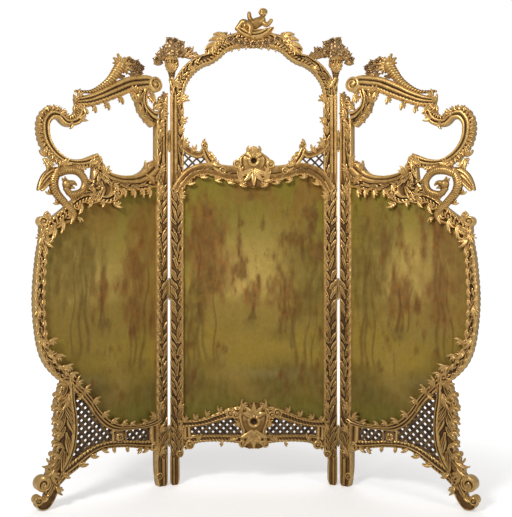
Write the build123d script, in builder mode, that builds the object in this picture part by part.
from build123d import *
from math import cos, pi, radians, sin
import os

os.makedirs("parts", exist_ok=True)

# Overall sizes of the screen in millimetres, standing on Z = 0 with its front towards -Y.
screen_height = 1956.0
centre_half_width = 343.0
leaf_reach = 586.0
fold_angle = 36.5
frame_depth = 34.0

# Stiles: the straight uprights that carry the hinges.
stile_width = 55.0
leaf_stile_width = 52.0
stile_bead_width = 9.0
stile_bead_height = 4.0
stile_bead_inset = 6.0
foot_width = 37.0
foot_height = 110.0
foot_taper = 60.0
foot_round = 14.0
leaf_foot_width = 46.0
leaf_foot_round = 26.0
finial_width = 24.0
volute_radius = 17.0

# Rosettes stand this far proud of their blocks.
bead_height = 7.0

# Canvas, its backing board and the battens that stiffen the board.
canvas_setback = 12.0
canvas_thickness = 2.0
board_thickness = 6.0
batten_thickness = 9.0
batten_width = 36.0
canvas_lap = 10.0
pane_clearance = 0.3

# Pierced lattice: two crossing layers of flat slats inside a thin rim.
slat_width = 12.0
slat_thickness = 5.5
lattice_setback = 6.0
leaf_slat_pitch = 22.0
centre_slat_pitch = 20.5
mid_slat_pitch = 24.0
mid_slat_width = 7.0
rim_width = 6.0
lattice_lap = 8.0

# Butt hinges: three to a side.
hinge_gap = 7.0
barrel_radius = 4.5
barrel_stand = 3.5
hinge_length = 75.0
hinge_heights = (203.0, 804.0, 1410.0)
plate_thickness = 2.0
plate_width = 26.0
pin_radius = 2.5
pin_clearance = 0.05
knuckle_gap = 0.3
ball_radius = 4.0

# Carvings that stand proud of the frame.
cartouche_relief = 16.0
cartouche_depth = 10.0
cartouche_hole = 11.0
plate_step = 6.0
shell_depth = 17.0
shell_relief = 22.0
blossom_thickness = 12.0
blossom_lead = 8.0
basket_middle = 12.0
garland_half = 126.0
garland_rise = 34.0
garland_blossoms = 11
trophy_depth = 17.0
creature_back = 10.0
creature_depth = 26.0

# The ornament outlines below are drawn on a template of this size, and follow the real sizes.
template_height = 1956.0
template_half_width = 343.0
template_reach = 586.0

# The centre panel's front face stands so far back that the whole screen is centred on Y = 0.
front_plane_y = (leaf_reach * sin(radians(fold_angle)) - frame_depth) / 2
hinge_axis_x = centre_half_width + hinge_gap / 2
hinge_axis_y = front_plane_y - barrel_stand

fold = radians(fold_angle)
centre_face = Plane(origin=(0, front_plane_y, 0), x_dir=(1, 0, 0), z_dir=(0, -1, 0))
leaf_hinge_plane = Plane(
    origin=(hinge_axis_x, hinge_axis_y, 0),
    x_dir=(cos(fold), -sin(fold), 0),
    z_dir=(-sin(fold), -cos(fold), 0),
)
leaf_face = leaf_hinge_plane.offset(-barrel_stand)


def centre_point(x, z):
    """A template point of the centre panel, at the screen's real size."""
    return (x * centre_half_width / template_half_width, z * screen_height / template_height)


def leaf_point(u, z):
    """A template point of a leaf, measured from the hinge line, at the real size."""
    return (u * leaf_reach / template_reach, z * screen_height / template_height)


def stations(place, *rows):
    """Rows of (across, up, width) on the template become real ones."""
    return [(*place(across, up), width) for across, up, width in rows]


def mirrored(rows):
    """A left half of stations, continued by its mirror image to the right."""
    return rows + [(-x, z, width) for x, z, width in reversed(rows) if x != 0]


def band_edges(rows, grow=0.0):
    """The two edges of a board that follows the stations, as seen along its way."""
    points = [Vector(x, z) for x, z, _ in rows]
    left = []
    right = []
    for index, point in enumerate(points):
        before = points[max(index - 1, 0)]
        after = points[min(index + 1, len(points) - 1)]
        along = (after - before).normalized()
        side = Vector(-along.Y, along.X) * (rows[index][2] / 2 + grow)
        left.append(point + side)
        right.append(point - side)
    return left, right


def headings(points):
    """The direction of a smooth curve at each of its points."""
    inner = [(after - before).normalized() for before, after in zip(points, points[2:])]
    start = (points[1] - points[0]).normalized()
    end = (points[-1] - points[-2]).normalized()
    first = start * (2 * start.dot(inner[0])) - inner[0]
    last = end * (2 * end.dot(inner[-1])) - inner[-1]
    return [first, *inner, last]


def arc_or_line(start, end, heading):
    """An arc that leaves start along its heading, or a straight line where the way hardly turns."""
    chord = (end - start).normalized()
    if abs(chord.X * heading.Y - chord.Y * heading.X) < 0.004:
        Line(start, end)
    else:
        TangentArc(start, end, tangent=heading)


def curve(points):
    """A smooth chain of arcs through the points, two to each stretch."""
    ways = headings(points)
    for start, end, leave, arrive in zip(points, points[1:], ways, ways[1:]):
        gap = end - start
        both = leave + arrive
        turn = 2 * (1 - leave.dot(arrive))
        if turn < 1e-6:
            reach = gap.dot(gap) / (4 * gap.dot(arrive))
        else:
            reach = (-gap.dot(both) + (gap.dot(both) ** 2 + turn * gap.dot(gap)) ** 0.5) / turn
        middle = (start + leave * reach + end - arrive * reach) / 2
        arc_or_line(start, middle, leave)
        arc_or_line(end, middle, -arrive)


def band(rows, grow=0.0, first=0, last=None, mode=Mode.ADD):
    """A curved board's face, from station first to station last."""
    left, right = band_edges(rows, grow)
    left = left[first:last]
    right = right[first:last]
    with BuildLine() as edge:
        curve(left)
        curve(right)
        Line(left[0], right[0])
        Line(left[-1], right[-1])
    make_face(edge.edges(), mode=mode)


def outline(place, *corners, mode=Mode.ADD):
    """A straight-sided face through template points."""
    polygon([Vector(*place(*corner)) for corner in corners], mode)


def polygon(corners, mode=Mode.ADD):
    """A straight-sided face through real points."""
    with BuildLine() as edge:
        Polyline(*corners, close=True)
    make_face(edge.edges(), mode=mode)


def blossom(radius, petals=5, inner_share=0.55):
    """A flower's outline: petals as points of a star, cut short of its centre."""
    tips = []
    for step in range(2 * petals):
        reach = radius if step % 2 == 0 else radius * inner_share
        angle = pi * step / petals
        tips.append((reach * sin(angle), reach * cos(angle)))
    Polygon(*tips, align=None)


def limb(start, end, radii, sides=8):
    """One tapering length of a round form, in flat sides; the next length overlaps it."""
    along = (Vector(*end) - Vector(*start)).normalized()
    side = along.cross(Vector(0, 1, 0)).normalized()
    up = along.cross(side)
    near, far = (
        [
            Vector(*middle) + side * (radius * cos(2 * pi * step / sides)) + up * (radius * sin(2 * pi * step / sides))
            for step in range(sides)
        ]
        for middle, radius in zip((start, end), radii)
    )
    skins = [near, far]
    for step in range(sides):
        following = (step + 1) % sides
        skins.append([near[step], near[following], far[following], far[step]])
    add(Solid(Shell([Face(Wire.make_polygon(skin)) for skin in skins])))


def grown(corners, amount):
    """The corners of a straight-sided outline whose every side is moved outward by amount."""
    following = corners[1:] + corners[:1]
    turning = sum(a.X * b.Y - b.X * a.Y for a, b in zip(corners, following))
    way = 1 if turning > 0 else -1
    outward = []
    for start, end in zip(corners, following):
        along = (end - start).normalized()
        outward.append(Vector(along.Y, -along.X) * way)
    moved = []
    for index, corner in enumerate(corners):
        before = outward[index - 1]
        after = outward[index]
        moved.append(corner + (before + after) * (amount / (1 + before.dot(after))))
    return moved


def rebate(face, corners, setback):
    """A pocket cut from the back of a frame, to hold a canvas or a lattice."""
    with BuildSketch(face.offset(-setback)) as pocket:
        polygon(grown(corners, pane_clearance))
    extrude(pocket.sketch, amount=setback - frame_depth, mode=Mode.SUBTRACT)


def inset_edge(rows, side, lip, first=0, last=None):
    """Points just inside one edge of a board, where a canvas or lattice laps behind it."""
    return band_edges(rows, -lip)[side][first:last]


LEFT_EDGE = 0
RIGHT_EDGE = 1
pieces = {}


def keep(name, builder):
    """Names a finished piece."""
    pieces[name] = builder.part


# Centre panel: the members' centre lines.
crest_line = mirrored(stations(
    centre_point,
    (-326, 1560, 54), (-316, 1602, 54), (-298, 1660, 50), (-262, 1710, 48), (-220, 1740, 46), (-186, 1752, 44),
    (-157, 1772, 46), (-122, 1807, 54), (-70, 1827, 58), (0, 1832, 62),
))
mid_line = mirrored(stations(
    centre_point,
    (-318, 1205, 46), (-300, 1236, 46), (-272, 1270, 46), (-230, 1293, 48), (-185, 1297, 50),
    (-140, 1288, 56), (-95, 1279, 64), (-50, 1276, 72), (0, 1275, 78),
))
base_line = mirrored(stations(
    centre_point,
    (-310, 250, 30), (-240, 252, 30), (-190, 262, 32), (-140, 279, 36), (-80, 296, 42), (0, 300, 56),
))
apron_line = mirrored(stations(
    centre_point,
    (-312, 172, 84), (-284, 177, 60), (-245, 187, 36), (-190, 191, 28), (-120, 191, 28), (-56, 187, 34),
    (0, 182, 44),
))
bracket_line = stations(
    centre_point,
    (-312, 1432, 38), (-288, 1390, 32), (-252, 1363, 28), (-218, 1358, 26), (-198, 1388, 20),
)
descent_line = stations(
    centre_point,
    (-203, 1378, 24), (-184, 1338, 31), (-152, 1306, 36), (-118, 1290, 36),
)
stile_top = centre_point(0, 1600)[1]
stile_inner_x = centre_half_width - stile_width

# What laps behind the centre panel's members: the canvas and the pierced lattices.
canvas_side_x = stile_inner_x + canvas_lap
centre_canvas_corners = [
    *inset_edge(base_line, LEFT_EDGE, canvas_lap, 1, -1),
    Vector(canvas_side_x, centre_point(0, 262)[1]),
    Vector(canvas_side_x, centre_point(0, 1228)[1]),
    *reversed(inset_edge(mid_line, RIGHT_EDGE, canvas_lap, 2, -2)),
    Vector(-canvas_side_x, centre_point(0, 1228)[1]),
    Vector(-canvas_side_x, centre_point(0, 262)[1]),
]


def mirrored_corners(corners):
    """The same corners on the other side of the screen's middle."""
    return [Vector(-corner.X, corner.Y) for corner in corners]


lattice_side_x = centre_point(256, 0)[0] + lattice_lap
left_base_lattice_corners = [
    Vector(-lattice_side_x, centre_point(0, 246)[1]),
    *inset_edge(base_line, RIGHT_EDGE, lattice_lap, 2, 5),
    Vector(*centre_point(-52, 256)),
    Vector(*centre_point(-40, 206)),
    *reversed(inset_edge(apron_line, LEFT_EDGE, lattice_lap, 3, 6)),
    Vector(-lattice_side_x, centre_point(0, 198)[1]),
]
left_mid_lattice_corners = [
    Vector(-stile_inner_x - lattice_lap, centre_point(0, 1388)[1]),
    *inset_edge(bracket_line, RIGHT_EDGE, lattice_lap, 2, 4),
    *inset_edge(descent_line, RIGHT_EDGE, lattice_lap, 1, 3),
    *reversed(inset_edge(mid_line, LEFT_EDGE, lattice_lap, 2, 5)),
    Vector(-stile_inner_x - lattice_lap, centre_point(0, 1278)[1]),
]


def centre_rebates():
    """Cuts every pocket of the centre panel from the member being made."""
    rebate(centre_face, centre_canvas_corners, canvas_setback)
    for corners in (left_base_lattice_corners, left_mid_lattice_corners):
        rebate(centre_face, corners, lattice_setback)
        rebate(centre_face, mirrored_corners(corners), lattice_setback)


def stile_outline(width):
    """A straight upright on a slimmer rounded leg, with its hinge edge to the right."""
    toe = centre_half_width - foot_width
    shoulder = centre_half_width - width
    with BuildLine() as edge:
        Line((centre_half_width, 0), (centre_half_width, stile_top))
        Line((centre_half_width, stile_top), (shoulder, stile_top))
        Line((shoulder, stile_top), (shoulder, foot_height + foot_taper))
        Spline((shoulder, foot_height + foot_taper), (toe, foot_height), tangents=((0, -1), (0, -1)))
        Line((toe, foot_height), (toe, foot_round))
        ThreePointArc(
            (toe, foot_round),
            (toe + foot_round * (1 - cos(pi / 4)), foot_round * (1 - sin(pi / 4))),
            (toe + foot_round, 0),
        )
        Line((toe + foot_round, 0), (centre_half_width, 0))
    make_face(edge.edges())


def stile_beads(near, width, top):
    """The two raised beads down the face of a stile; near is its hinge edge, width runs inward."""
    way = 1 if width > 0 else -1
    bottom = foot_height + foot_taper
    for inset in (stile_bead_inset, abs(width) - stile_bead_inset - stile_bead_width):
        with Locations((near + way * (inset + stile_bead_width / 2), (top + bottom) / 2)):
            Rectangle(stile_bead_width, top - bottom)


def hinge_mortises(side_plane, edge_x):
    """Shallow seats in a stile's hinge edge, one for each hinge leaf."""
    with BuildSketch(side_plane) as seats:
        for height in hinge_heights:
            with Locations((edge_x, height)):
                Rectangle(2 * plate_thickness, hinge_length)
    extrude(seats.sketch, amount=-plate_width, mode=Mode.SUBTRACT)


with BuildPart() as right_stile:
    with BuildSketch(centre_face):
        stile_outline(stile_width)
    extrude(amount=-frame_depth)
    with BuildSketch(centre_face):
        stile_beads(centre_half_width, -stile_width, stile_top - foot_height)
    extrude(amount=stile_bead_height)
    hinge_mortises(centre_face, centre_half_width)
    centre_rebates()
keep("centre_right_stile", right_stile)

with BuildPart() as left_stile:
    mirror(right_stile.part, about=Plane.YZ)
keep("centre_left_stile", left_stile)


def clear_stiles():
    """Leaves what lies within the two centre stiles out of a rail's face."""
    for side in (-1, 1):
        with Locations((side * (stile_inner_x + stile_width), stile_top / 2)):
            Rectangle(2 * stile_width, stile_top, mode=Mode.SUBTRACT)


def centre_member(lines, *neighbours, extra=None):
    """A curved board of the centre panel, cut square against the stiles and scribed to its neighbours."""
    with BuildPart() as board:
        with BuildSketch(centre_face):
            for line in lines:
                band(line)
            if extra:
                extra()
            clear_stiles()
        extrude(amount=-frame_depth)
        centre_rebates()
        for neighbour in neighbours:
            add(neighbour.part, mode=Mode.SUBTRACT)
    return board


def crest_lips():
    """The two leaf tips where the arch springs from its shoulders."""
    for side in (-1, 1):
        corners = [(side * x, z) for x, z in ((-150, 1770), (-190, 1762), (-204, 1797), (-160, 1822), (-120, 1828))]
        outline(centre_point, *corners)


def apron_ends():
    """Upright ends beside the lattices, and the small drops under the apron."""
    for side in (-1, 1):
        ends = ((300, 180), (256, 180), (256, 245), (300, 245))
        drops = ((142, 182), (138, 162), (128, 156), (120, 166), (116, 184))
        for corners in (ends, drops):
            outline(centre_point, *[(side * x, z) for x, z in corners])


def carved_plate(half, hole=None):
    """A carved piece in two steps, halved into the rails; half is its left half, mirrored here."""
    whole = half + [(-x, z) for x, z in reversed(half) if x != 0]
    corners = [Vector(*centre_point(*corner)) for corner in whole]
    with BuildPart() as plate:
        for start, depth, inset in ((-cartouche_depth, cartouche_depth + plate_step, 0), (0, cartouche_relief, 12)):
            with BuildSketch(centre_face.offset(start)):
                polygon(grown(corners, -inset))
                if hole:
                    with Locations(centre_point(*hole)):
                        RegularPolygon(cartouche_hole, 8, mode=Mode.SUBTRACT)
            extrude(amount=depth)
        centre_rebates()
    return plate


base_cartouche = carved_plate([
    (0, 345), (-32, 334), (-60, 312), (-92, 282), (-66, 252), (-50, 228), (-50, 206), (-60, 178), (-54, 152),
    (-26, 146), (0, 160),
])
keep("centre_base_cartouche", base_cartouche)
mid_cartouche = carved_plate([
    (0, 1384), (-18, 1390), (-38, 1360), (-74, 1340), (-88, 1306), (-76, 1262), (-42, 1230), (0, 1218),
], hole=(0, 1330))
keep("centre_mid_cartouche", mid_cartouche)


def proud(x, z, out):
    """A point of the centre panel's carvings, out millimetres in front of its face."""
    across, up = centre_point(x, z)
    return (across, front_plane_y - out, up)


# The drapery shell: a shallow fluted bowl under the putto.
with BuildPart() as crest_shell:
    with BuildSketch(centre_face.offset(-shell_depth)):
        outline(
            centre_point, (-66, 1868), (-58, 1852), (-44, 1846), (-34, 1836), (-16, 1832), (4, 1826), (24, 1832),
            (42, 1836), (56, 1848), (70, 1854), (78, 1870), (40, 1864), (0, 1862), (-34, 1864),
        )
    extrude(amount=shell_depth + shell_relief)
keep("crest_drapery_shell", crest_shell)

# The putto reclines along the shell: trunk, head, legs and arms.
with BuildPart() as putto:
    limb(proud(-32, 1878, 4), proud(-4, 1886, 4), radii=(16, 18))
    limb(proud(-4, 1886, 4), proud(32, 1903, 4), radii=(18, 14))
    limb(proud(36, 1908, 6), proud(38, 1936, 6), radii=(12, 20))
    limb(proud(38, 1935, 6), proud(38, 1956, 6), radii=(20, 12))
    limb(proud(-22, 1880, -4), proud(-44, 1898, -4), radii=(13, 10), sides=6)
    limb(proud(-42, 1900, -4), proud(-70, 1870, -3), radii=(10, 6), sides=6)
    limb(proud(-22, 1882, 12), proud(-14, 1866, 20), radii=(13, 11), sides=6)
    limb(proud(-12, 1868, 20), proud(-16, 1842, 26), radii=(10, 6), sides=6)
    limb(proud(4, 1892, -4), proud(-16, 1914, -4), radii=(10, 7), sides=6)
    limb(proud(-16, 1912, -4), proud(-20, 1936, -2), radii=(7, 5), sides=6)
    limb(proud(34, 1898, 10), proud(54, 1882, 14), radii=(9, 7), sides=6)
    limb(proud(53, 1880, 14), proud(72, 1902, 14), radii=(8, 5), sides=6)
    add(crest_shell.part, mode=Mode.SUBTRACT)
keep("crest_putto", putto)

# Flower basket on the shoulder of each stile: stem, flaring basket, foliage and blossoms.
with BuildPart() as left_basket:
    limb(proud(-334, 1606, -basket_middle), proud(-337, 1665, -basket_middle), radii=(11, 12))
    limb(proud(-337, 1663, -basket_middle), proud(-339, 1744, -basket_middle), radii=(12, 28))
    with BuildSketch(centre_face.offset(-basket_middle - blossom_thickness)):
        outline(
            centre_point, (-412, 1728), (-396, 1718), (-372, 1738), (-340, 1732), (-300, 1744), (-262, 1748),
            (-222, 1746), (-240, 1768), (-272, 1788), (-318, 1806), (-366, 1776), (-400, 1756),
        )
        for x, z, radius in (
            (-404, 1746, 18), (-374, 1768, 24), (-340, 1796, 30), (-345, 1822, 18), (-304, 1804, 24), (-270, 1778, 20),
        ):
            with Locations(centre_point(x, z)):
                blossom(radius, petals=6, inner_share=0.7)
    extrude(amount=2 * blossom_thickness + blossom_lead)
    add(left_stile.part, mode=Mode.SUBTRACT)
keep("centre_left_flower_basket", left_basket)

with BuildPart() as right_basket:
    mirror(left_basket.part, about=Plane.YZ)
keep("centre_right_flower_basket", right_basket)

crest_rail = centre_member([crest_line], crest_shell, putto, left_basket, right_basket, extra=crest_lips)
keep("centre_crest_rail", crest_rail)
mid_rail = centre_member([mid_line], mid_cartouche)
keep("centre_mid_rail", mid_rail)
base_rail = centre_member([base_line], base_cartouche)
keep("centre_base_rail", base_rail)
apron_rail = centre_member([apron_line], base_cartouche, base_rail, extra=apron_ends)
keep("centre_apron_rail", apron_rail)
left_bracket = centre_member([bracket_line, descent_line], mid_rail)
keep("centre_left_mid_scroll", left_bracket)

with BuildPart() as right_bracket:
    mirror(left_bracket.part, about=Plane.YZ)
keep("centre_right_mid_scroll", right_bracket)


def lattice(face, corners, pitch, width):
    """Two crossing layers of slats inside a straight-sided rim."""
    middle = sum(corners, Vector(0, 0)) / len(corners)
    reach = 2 * max((corner - middle).length for corner in corners)
    count = int(reach / pitch) + 1
    with BuildPart() as grille:
        for layer, turn in enumerate((45, -45)):
            depth = lattice_setback + layer * slat_thickness
            with BuildSketch(face.offset(-depth)):
                with Locations(Location((middle.X, middle.Y, 0), (0, 0, turn))):
                    with GridLocations(0, pitch, 1, count):
                        Rectangle(reach, width)
                with BuildSketch(mode=Mode.PRIVATE) as opening:
                    polygon(corners)
                add(opening.sketch_local, mode=Mode.INTERSECT)
            extrude(amount=-slat_thickness)
        with BuildSketch(face.offset(-lattice_setback)):
            polygon(corners)
            polygon(grown(corners, -rim_width), Mode.SUBTRACT)
        extrude(amount=-2 * slat_thickness)
    return grille


left_mid_lattice = lattice(centre_face, left_mid_lattice_corners, mid_slat_pitch, mid_slat_width)
keep("centre_left_mid_lattice", left_mid_lattice)
left_base_lattice = lattice(centre_face, left_base_lattice_corners, centre_slat_pitch, slat_width)
keep("centre_left_base_lattice", left_base_lattice)
for name, left_one in (("centre_right_mid_lattice", left_mid_lattice), ("centre_right_base_lattice", left_base_lattice)):
    with BuildPart() as right_one:
        mirror(left_one.part, about=Plane.YZ)
    keep(name, right_one)

def sheet(face, corners):
    """A canvas, stretched flat behind its opening."""
    with BuildPart() as panel:
        with BuildSketch(face.offset(-canvas_setback)):
            polygon(corners)
        extrude(amount=-canvas_thickness)
    return panel


def backing_board(face, place, corners, battens):
    """The board behind a canvas, with level battens across its back."""
    setback = canvas_setback + canvas_thickness
    with BuildPart() as board:
        with BuildSketch(face.offset(-setback)):
            polygon(corners)
        extrude(amount=-board_thickness)
        with BuildSketch(face.offset(-setback - board_thickness)):
            for from_side, to_side, height in battens:
                start, level = place(from_side, height)
                end = place(to_side, height)[0]
                with Locations(((start + end) / 2, level)):
                    Rectangle(end - start, batten_width)
        extrude(amount=-batten_thickness)
    return board


keep("centre_canvas", sheet(centre_face, centre_canvas_corners))
keep("centre_back_board", backing_board(
    centre_face, centre_point, centre_canvas_corners, ((-280, 280, 380), (-280, 280, 740), (-280, 280, 1100)),
))

# The garland hangs across the crest, with a row of blossoms along it.
with BuildPart() as garland:
    with BuildSketch(centre_face):
        for step in range(garland_blossoms):
            share = 2 * step / (garland_blossoms - 1) - 1
            with Locations(centre_point(share * garland_half, 1808 + garland_rise * share**2)):
                blossom(16 + 3 * (step % 2))
    extrude(amount=blossom_thickness)
    for neighbour in (crest_shell, putto):
        add(neighbour.part, mode=Mode.SUBTRACT)
keep("crest_flower_garland", garland)

# Leaf: the members' centre lines, (out from the hinge line, up, width).
corner_line = stations(
    leaf_point,
    (20, 1482, 96), (47, 1490, 83), (80, 1503, 56), (112, 1533, 45), (122, 1571, 45), (114, 1609, 51),
)
leaf_crest_line = stations(
    leaf_point,
    (52, 1634, 35), (90, 1639, 55), (130, 1632, 61), (180, 1619, 59), (240, 1589, 59), (304, 1556, 49),
    (356, 1534, 43), (406, 1523, 30),
)
loop_line = stations(
    leaf_point,
    (390, 1515, 32), (386, 1485, 41), (406, 1456, 42), (442, 1446, 37), (472, 1467, 35), (506, 1469, 49),
    (530, 1441, 46), (534, 1402, 45), (524, 1360, 44), (498, 1324, 39), (462, 1299, 34), (424, 1289, 29),
    (374, 1292, 37), (312, 1314, 44),
)
leaf_mid_line = stations(
    leaf_point,
    (318, 1320, 28), (306, 1274, 43), (270, 1243, 50), (224, 1230, 55), (184, 1229, 57), (140, 1234, 65),
    (100, 1248, 78), (67, 1269, 102), (34, 1300, 120),
)
corner_scroll_line = stations(
    leaf_point,
    (230, 1185, 43), (270, 1161, 33), (312, 1162, 27), (354, 1165, 31), (398, 1148, 30), (444, 1109, 30),
    (514, 1049, 38),
)
side_line = stations(
    leaf_point,
    (530, 1063, 33), (532, 1005, 29), (542, 940, 31), (548, 865, 35), (552, 779, 37), (548, 689, 35),
    (534, 603, 36), (510, 546, 39), (472, 501, 39), (432, 466, 36), (390, 427, 34), (352, 383, 31),
    (320, 335, 31), (282, 294, 34), (240, 270, 31), (190, 261, 22), (114, 258, 21), (64, 265, 29),
    (24, 281, 40),
)
knee = 9
leg_line = stations(
    leaf_point,
    (446, 449, 33), (450, 397, 49), (442, 342, 54), (440, 282, 53), (450, 221, 45), (474, 168, 45),
    (498, 124, 55), (502, 80, 54), (512, 41, 36), (536, 13, 30), (556, 25, 24),
)
bottom_line = stations(
    leaf_point,
    (412, 148, 35), (350, 185, 30), (302, 201, 26), (254, 203, 27), (194, 196, 26), (128, 183, 29),
    (84, 172, 43), (36, 160, 90),
)
leaf_stile_top = leaf_point(0, 1500)[1]
leaf_stile_near = hinge_gap / 2
leaf_stile_edge = leaf_stile_near + leaf_stile_width

# What laps behind a leaf's members.
leaf_canvas_corners = [
    *inset_edge(side_line, RIGHT_EDGE, canvas_lap, 1, -2),
    Vector(leaf_stile_edge - canvas_lap, leaf_point(0, 276)[1]),
    Vector(leaf_stile_edge - canvas_lap, leaf_point(0, 1232)[1]),
    *reversed(inset_edge(leaf_mid_line, LEFT_EDGE, canvas_lap, 3, -2)),
    *inset_edge(corner_scroll_line, RIGHT_EDGE, canvas_lap, 1, -1),
]
large_lattice_corners = [
    *inset_edge(side_line, LEFT_EDGE, lattice_lap, knee + 1, knee + 6),
    Vector(*leaf_point(245, 232)),
    *reversed(inset_edge(bottom_line, RIGHT_EDGE, lattice_lap, 0, 4)),
    *reversed(inset_edge(leg_line, RIGHT_EDGE, lattice_lap, 1, 5)),
]
small_lattice_corners = [
    Vector(*leaf_point(200, 250)),
    *inset_edge(side_line, LEFT_EDGE, lattice_lap, knee + 6, knee + 8),
    Vector(leaf_point(94, 0)[0] - lattice_lap, leaf_point(0, 250)[1]),
    Vector(leaf_point(94, 0)[0] - lattice_lap, leaf_point(0, 194)[1]),
    *reversed(inset_edge(bottom_line, RIGHT_EDGE, lattice_lap, 4, 6)),
]


def leaf_rebates():
    """Cuts every pocket of a leaf from the member being made."""
    rebate(leaf_face, leaf_canvas_corners, canvas_setback)
    rebate(leaf_face, large_lattice_corners, lattice_setback)
    rebate(leaf_face, small_lattice_corners, lattice_setback)


def leaf_stile_outline():
    """A leaf's stile and its rounded leg, from its hinge edge outward."""
    near = leaf_stile_near
    toe = near + leaf_foot_width
    with BuildLine() as edge:
        Line((near, 0), (near, leaf_stile_top))
        Line((near, leaf_stile_top), (leaf_stile_edge, leaf_stile_top))
        Line((leaf_stile_edge, leaf_stile_top), (leaf_stile_edge, foot_height))
        Spline((leaf_stile_edge, foot_height), (toe, leaf_foot_round), tangents=((0, -1), (0, -1)))
        ThreePointArc(
            (toe, leaf_foot_round),
            (toe - leaf_foot_round * (1 - cos(pi / 4)), leaf_foot_round * (1 - sin(pi / 4))),
            (toe - leaf_foot_round, 0),
        )
        Line((toe - leaf_foot_round, 0), (near, 0))
    make_face(edge.edges())


def clear_leaf_stile():
    """Leaves what lies within the leaf's stile out of a member's face."""
    with Locations((leaf_stile_edge - leaf_stile_top / 2, leaf_stile_top / 2)):
        Rectangle(leaf_stile_top, leaf_stile_top, mode=Mode.SUBTRACT)


with BuildPart() as leaf_stile:
    with BuildSketch(leaf_face):
        leaf_stile_outline()
        finial = (
            (0, -10), (0, 96), (0.5, 108), (1, 92), (0.8, 66), (1.1, 48), (1, -10),
        )
        polygon([
            Vector(leaf_stile_near + share * finial_width, leaf_stile_top + rise) for share, rise in finial
        ])
        with Locations((leaf_stile_near + finial_width + volute_radius * 0.7, leaf_stile_top + 56)):
            Circle(volute_radius)
    extrude(amount=-frame_depth)
    with BuildSketch(leaf_face):
        stile_beads(leaf_stile_near, leaf_stile_width, leaf_stile_top - foot_height)
    extrude(amount=stile_bead_height)
    hinge_mortises(leaf_face, leaf_stile_near)
    leaf_rebates()

leaf_pieces = {"inner_stile": leaf_stile.part}


def scroll_eye(u, z, radius):
    """A round scroll end on a leaf member."""
    with Locations(leaf_point(u, z)):
        Circle(radius)


def leaf_member(lines, *neighbours, first=0, last=None, extra=None):
    """A curved board of a leaf, scribed to the pieces it meets."""
    with BuildPart() as board:
        with BuildSketch(leaf_face):
            for line in lines:
                band(line, first=first, last=last)
            if extra:
                extra()
            clear_leaf_stile()
        extrude(amount=-frame_depth)
        leaf_rebates()
        for neighbour in neighbours:
            add(neighbour.part, mode=Mode.SUBTRACT)
    return board


def crest_ends():
    """The scroll at the crest's inner end and the leaf lips at its outer end."""
    scroll_eye(64, 1634, 31)
    outline(leaf_point, (395, 1500), (432, 1500), (440, 1512), (425, 1522), (436, 1536), (395, 1545))


def ear_tip():
    """The leaf that curls out under the ear."""
    outline(leaf_point, (500, 1300), (540, 1318), (562, 1296), (540, 1284), (500, 1276), (470, 1284))


def foot_scroll():
    """The upper scroll of the splayed foot, and its flat sole."""
    scroll_eye(540, 102, 24)
    outline(leaf_point, (474, 178), (524, 156), (552, 128), (536, 90), (500, 90))
    with Locations((leaf_reach, -foot_height / 2)):
        Rectangle(leaf_reach, foot_height, mode=Mode.SUBTRACT)


def bottom_rail_end():
    """The upright end between the stile and the small lattice."""
    outline(leaf_point, (40, 170), (94, 180), (94, 255), (40, 255))


# Crest trophy: a slanting torch whose flames break into flowers, lying on the crest rail.
with BuildPart() as trophy:
    with BuildSketch(leaf_face.offset(-trophy_depth)):
        outline(
            leaf_point, (412, 1556), (352, 1562), (300, 1584), (262, 1608), (150, 1656), (140, 1690), (200, 1724),
            (226, 1714), (252, 1672), (276, 1638), (312, 1597), (352, 1571), (410, 1567),
        )
        for u, z, radius in ((205, 1704, 22), (170, 1712, 28), (140, 1702, 24), (120, 1690, 20), (130, 1670, 20)):
            with Locations(leaf_point(u, z)):
                blossom(radius, petals=6, inner_share=0.7)
    extrude(amount=trophy_depth + blossom_thickness)

leaf_crest = leaf_member([corner_line, leaf_crest_line], leaf_stile, trophy, extra=crest_ends)
leaf_mid = leaf_member([leaf_mid_line])
leaf_loop = leaf_member([loop_line], leaf_crest, leaf_mid, extra=ear_tip)
leaf_side = leaf_member([side_line], last=knee + 1)
leaf_sweep = leaf_member([side_line], first=knee)
leaf_corner = leaf_member([corner_scroll_line], leaf_mid, leaf_side)
leaf_leg = leaf_member([leg_line], leaf_side, leaf_sweep, extra=foot_scroll)
leaf_bottom = leaf_member([bottom_line], leaf_leg, leaf_sweep, leaf_stile, extra=bottom_rail_end)

with BuildPart() as rosette_block:
    with BuildSketch(leaf_face):
        outline(leaf_point, (192, 190), (192, 258), (250, 268), (258, 262), (258, 195))
    extrude(amount=-frame_depth)
    leaf_rebates()
    with BuildSketch(leaf_face):
        with Locations(leaf_point(226, 234)):
            blossom(18, petals=8, inner_share=0.75)
    extrude(amount=bead_height)
    for neighbour in (leaf_sweep, leaf_bottom):
        add(neighbour.part, mode=Mode.SUBTRACT)

# Griffin: wing, body with its curled tail, and the ring of its neck.
griffin_body = stations(
    leaf_point,
    (484, 1257, 27), (501, 1212, 29), (490, 1172, 26), (454, 1134, 25), (418, 1102, 23), (426, 1072, 20),
    (452, 1061, 15),
)
griffin_neck = stations(
    leaf_point,
    (484, 1246, 30), (448, 1260, 29), (402, 1257, 26), (374, 1224, 25), (386, 1184, 24), (434, 1170, 23),
    (456, 1196, 15),
)
with BuildPart() as griffin:
    with BuildSketch(leaf_face.offset(-creature_back)):
        band(griffin_body)
        band(griffin_neck)
        outline(leaf_point, (560, 1180), (548, 1214), (520, 1254), (476, 1268), (470, 1240), (500, 1228), (524, 1200))
    extrude(amount=creature_depth)
    for neighbour in (leaf_loop, leaf_mid, leaf_corner, leaf_side):
        add(neighbour.part, mode=Mode.SUBTRACT)

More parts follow.
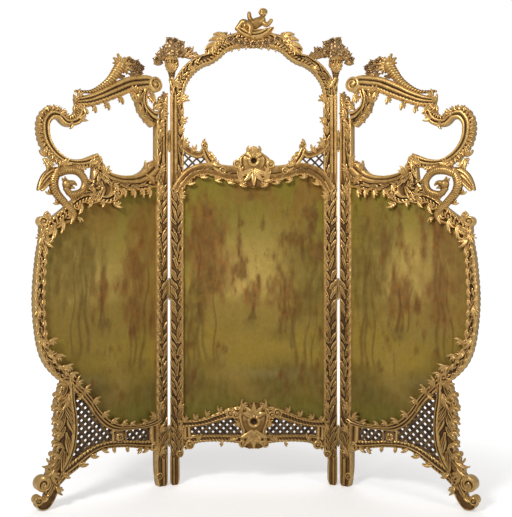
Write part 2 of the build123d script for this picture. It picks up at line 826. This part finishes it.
leaf_board = backing_board(
    leaf_face, leaf_point, leaf_canvas_corners, ((62, 290, 380), (62, 520, 700), (62, 440, 1070)),
)
leaf_pieces |= {
    "crest_rail": leaf_crest.part,
    "mid_rail": leaf_mid.part,
    "loop_scroll": leaf_loop.part,
    "outer_stile": leaf_side.part,
    "sweep_rail": leaf_sweep.part,
    "corner_scroll": leaf_corner.part,
    "splayed_leg": leaf_leg.part,
    "bottom_rail": leaf_bottom.part,
    "rosette_block": rosette_block.part,
    "large_lattice": lattice(leaf_face, large_lattice_corners, leaf_slat_pitch, slat_width).part,
    "small_lattice": lattice(leaf_face, small_lattice_corners, leaf_slat_pitch, slat_width).part,
    "canvas": sheet(leaf_face, leaf_canvas_corners).part,
    "back_board": leaf_board.part,
    "griffin": griffin.part,
    "crest_trophy": trophy.part,
}

# Hinges: each has two outer knuckles on the centre stile and one middle knuckle on the leaf.
knuckle_length = hinge_length / 3
centre_hinge_plane = Plane(origin=(hinge_axis_x, hinge_axis_y, 0))
leaf_top_plane = Plane(origin=(hinge_axis_x, hinge_axis_y, 0), x_dir=(cos(fold), -sin(fold), 0), z_dir=(0, 0, 1))
outer_knuckles = ((0.0, knuckle_length), (2 * knuckle_length, knuckle_length))
middle_knuckle = ((knuckle_length, knuckle_length),)


def hinge_leaves(plane, side, own, other):
    """A plate with its knuckles at each hinge height; side is -1 on the centre stile, 1 on the leaf."""
    with BuildPart() as leaves:
        for height in hinge_heights:
            bottom = plane.offset(height - hinge_length / 2)
            with BuildSketch(bottom):
                with Locations((side * (hinge_gap + plate_thickness) / 2, (barrel_stand + plate_width) / 2)):
                    Rectangle(plate_thickness, plate_width + barrel_stand)
            extrude(amount=hinge_length)
            for start, length in own:
                with BuildSketch(bottom.offset(start + knuckle_gap / 2)):
                    Circle(barrel_radius)
                extrude(amount=length - knuckle_gap)
            for start, length in other:
                with BuildSketch(bottom.offset(start - knuckle_gap / 2)):
                    Rectangle(3 * barrel_radius, 2 * barrel_stand)
                extrude(amount=length + knuckle_gap, mode=Mode.SUBTRACT)
            with BuildSketch(bottom):
                Circle(pin_radius + pin_clearance)
            extrude(amount=hinge_length, mode=Mode.SUBTRACT)
    return leaves


fixed_hinges = hinge_leaves(centre_hinge_plane, -1, outer_knuckles, middle_knuckle)
moving_hinges = hinge_leaves(leaf_top_plane, 1, middle_knuckle, outer_knuckles)

with BuildPart() as pins:
    for height in hinge_heights:
        with BuildSketch(centre_hinge_plane.offset(height - hinge_length / 2)):
            Circle(pin_radius)
        extrude(amount=hinge_length)
        for way in (-1, 1):
            rises = [height + way * (hinge_length / 2 + step * ball_radius) for step in range(3)]
            base, waist, tip = ((hinge_axis_x, hinge_axis_y, rise) for rise in rises)
            limb(base, waist, radii=(0.8 * ball_radius, ball_radius))
            limb(waist, tip, radii=(ball_radius, 0.4 * ball_radius))

hardware = {"fixed_hinges": fixed_hinges.part, "moving_hinges": moving_hinges.part, "hinge_pins": pins.part}

for name, part in leaf_pieces.items():
    pieces["right_leaf_" + name] = part
    pieces["left_leaf_" + name] = mirror(part, about=Plane.YZ)
for name, part in hardware.items():
    pieces["right_" + name] = part
    pieces["left_" + name] = mirror(part, about=Plane.YZ)

for name, part in pieces.items():
    part.label = name
    export_step(part, f"parts/{name}.step")
    print(name, len(part.solids()), round(part.volume))
